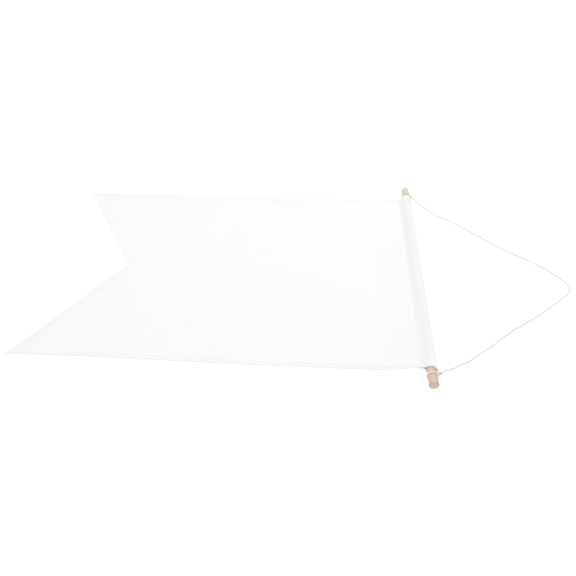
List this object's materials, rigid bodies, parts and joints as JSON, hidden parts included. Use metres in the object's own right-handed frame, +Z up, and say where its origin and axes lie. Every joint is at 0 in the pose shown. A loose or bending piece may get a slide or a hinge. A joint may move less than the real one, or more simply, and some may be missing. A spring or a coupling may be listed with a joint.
{
  "type": "garden flag with dowel rod",
  "caption": "Blank white swallow-tail garden flag laid flat, its sewn sleeve on a wooden dowel rod, with a thin hanging cord knotted round both rod ends.",
  "frame": {"origin": "on the surface it lies on, under the middle of the box of cloth and rod; the cord is left out of that box", "axes": "+Z up off the surface, +X along the cloth from the tails to the sleeve and rod, +Y along the rod"},
  "size_m": [0.6203, 0.34, 0.0143],
  "materials": {
    "cloth": "matt plain weave, white",
    "rod_wood": "sanded pale wood, uncoated",
    "cord": "matt twisted cotton, white"
  },
  "bodies": {
    "root": {"flag_cloth": "cloth", "dowel_rod": "rod_wood", "hanging_cord": "cord", "near_knot": "cord", "far_knot": "cord"}
  },
  "joints": []
}
